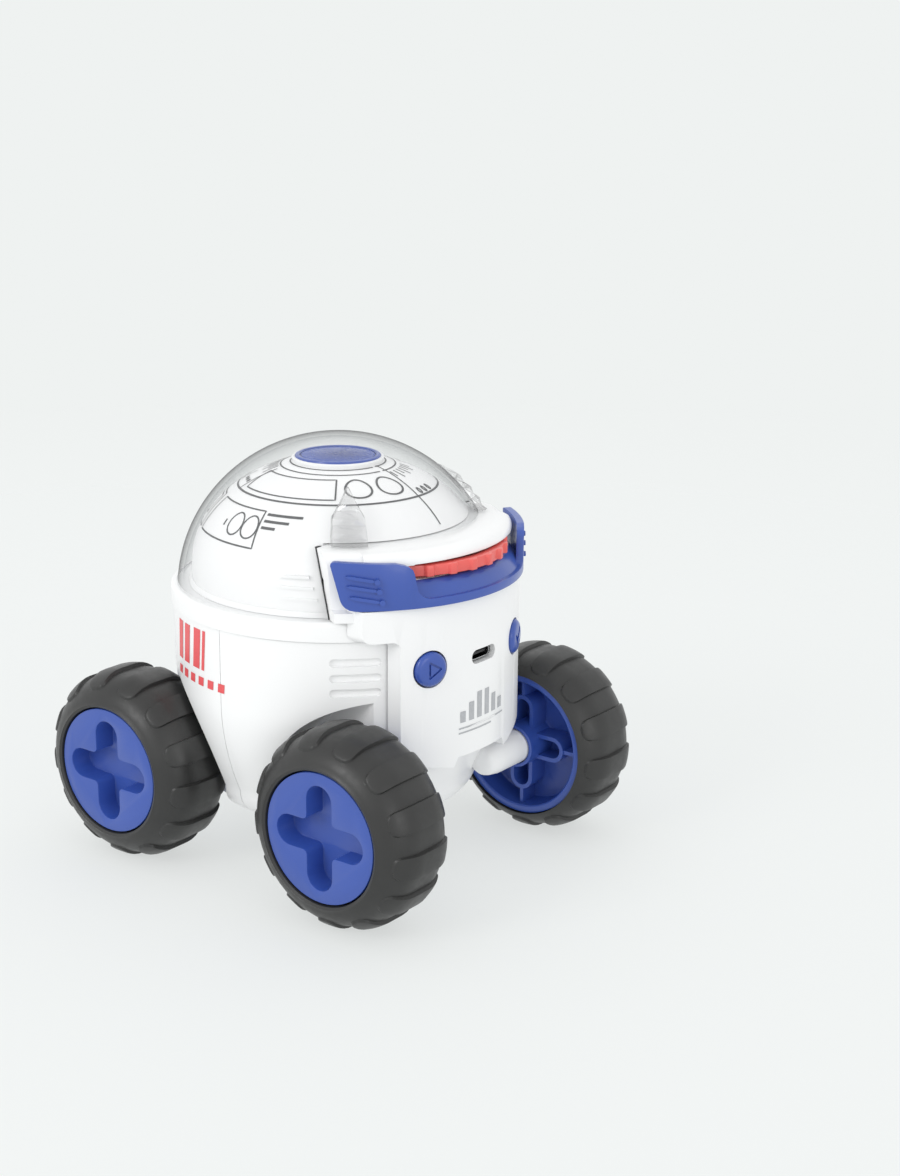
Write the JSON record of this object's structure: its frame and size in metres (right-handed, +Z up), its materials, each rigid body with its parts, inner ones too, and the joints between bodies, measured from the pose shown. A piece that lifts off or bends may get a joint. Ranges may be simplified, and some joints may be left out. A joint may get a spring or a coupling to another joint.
{
  "type": "rover night light",
  "caption": "Toy rover projector: a round body under a clear dome, with a thumb-turned picture wheel, push buttons and ribbed rubber-tyred wheels.",
  "frame": {"origin": "on the floor below the centre of the overall box", "axes": "+Z up, front towards -Y, +X to the object's own left-right axis, square to the wheels' axles' plane of symmetry"},
  "size_m": [0.1222, 0.1424, 0.1284],
  "materials": {
    "white_plastic": "satin",
    "blue_plastic": "satin",
    "coral_plastic": "satin",
    "clear_plastic": "polished",
    "black_plastic": "matte",
    "circuit_board": "satin",
    "steel": "satin",
    "battery_wrap": "satin",
    "tyre_rubber": "matte"
  },
  "bodies": {
    "chassis": {"front_shell": "white_plastic", "rear_shell": "white_plastic", "top_ring": "white_plastic", "base_cover": "white_plastic", "base_screw_1": "steel", "base_screw_2": "steel", "base_screw_3": "steel", "base_screw_4": "steel", "front_console": "white_plastic", "visor": "blue_plastic", "clear_dome": "clear_plastic", "inner_dome": "white_plastic", "lens_ring": "blue_plastic", "lens_tube": "black_plastic", "projection_lens": "clear_plastic", "deck_plate": "white_plastic", "disc_pin": "steel", "lamp_board": "circuit_board", "lamp_led": "clear_plastic", "condenser_lens": "clear_plastic", "circuit_board": "circuit_board", "charging_socket": "steel", "left_switch": "black_plastic", "right_switch": "black_plastic", "battery": "battery_wrap", "battery_tray": "black_plastic", "speaker": "black_plastic", "front_left_axle": "steel", "front_right_axle": "steel", "rear_left_axle": "steel", "rear_right_axle": "steel", "front_left_axle_nut": "steel", "front_right_axle_nut": "steel", "rear_left_axle_nut": "steel", "rear_right_axle_nut": "steel"},
    "picture_wheel": {"picture_wheel": "coral_plastic", "picture_film": "clear_plastic"},
    "left_button": {"left_button": "blue_plastic"},
    "right_button": {"right_button": "blue_plastic"},
    "rear_hatch": {"rear_hatch": "white_plastic"},
    "front_left_wheel": {"front_left_tyre": "tyre_rubber", "front_left_rim": "blue_plastic", "front_left_hubcap": "blue_plastic"},
    "front_right_wheel": {"front_right_tyre": "tyre_rubber", "front_right_rim": "blue_plastic", "front_right_hubcap": "blue_plastic"},
    "rear_left_wheel": {"rear_left_tyre": "tyre_rubber", "rear_left_rim": "blue_plastic", "rear_left_hubcap": "blue_plastic"},
    "rear_right_wheel": {"rear_right_tyre": "tyre_rubber", "rear_right_rim": "blue_plastic", "rear_right_hubcap": "blue_plastic"}
  },
  "joints": [
    {"name": "front_left_wheel_spin", "type": "hinge", "parent": "chassis", "child": "front_left_wheel", "pos_m": [-0.0471, -0.04185, 0.02955], "axis": [1, 0, 0], "continuous": true},
    {"name": "front_right_wheel_spin", "type": "hinge", "parent": "chassis", "child": "front_right_wheel", "pos_m": [0.0471, -0.04185, 0.02955], "axis": [1, 0, 0], "continuous": true},
    {"name": "rear_left_wheel_spin", "type": "hinge", "parent": "chassis", "child": "rear_left_wheel", "pos_m": [-0.0471, 0.04185, 0.02955], "axis": [1, 0, 0], "continuous": true},
    {"name": "rear_right_wheel_spin", "type": "hinge", "parent": "chassis", "child": "rear_right_wheel", "pos_m": [0.0471, 0.04185, 0.02955], "axis": [1, 0, 0], "continuous": true},
    {"name": "picture_wheel_spin", "type": "hinge", "parent": "chassis", "child": "picture_wheel", "pos_m": [0, -0.02075, 0.0982], "axis": [0, 0, 1], "continuous": true},
    {"name": "left_button_press", "type": "slide", "parent": "chassis", "child": "left_button", "axis": [0.3709, 0.9287, 0], "range_m": [0, 0.001], "stiffness_N_per_m": 600, "springref_m": -0.0004},
    {"name": "right_button_press", "type": "slide", "parent": "chassis", "child": "right_button", "axis": [-0.3709, 0.9287, 0], "range_m": [0, 0.001], "stiffness_N_per_m": 600, "springref_m": -0.0004},
    {"name": "hatch_pull", "type": "slide", "parent": "chassis", "child": "rear_hatch", "axis": [0, 1, 0], "range_m": [0, 0.02]}
  ]
}
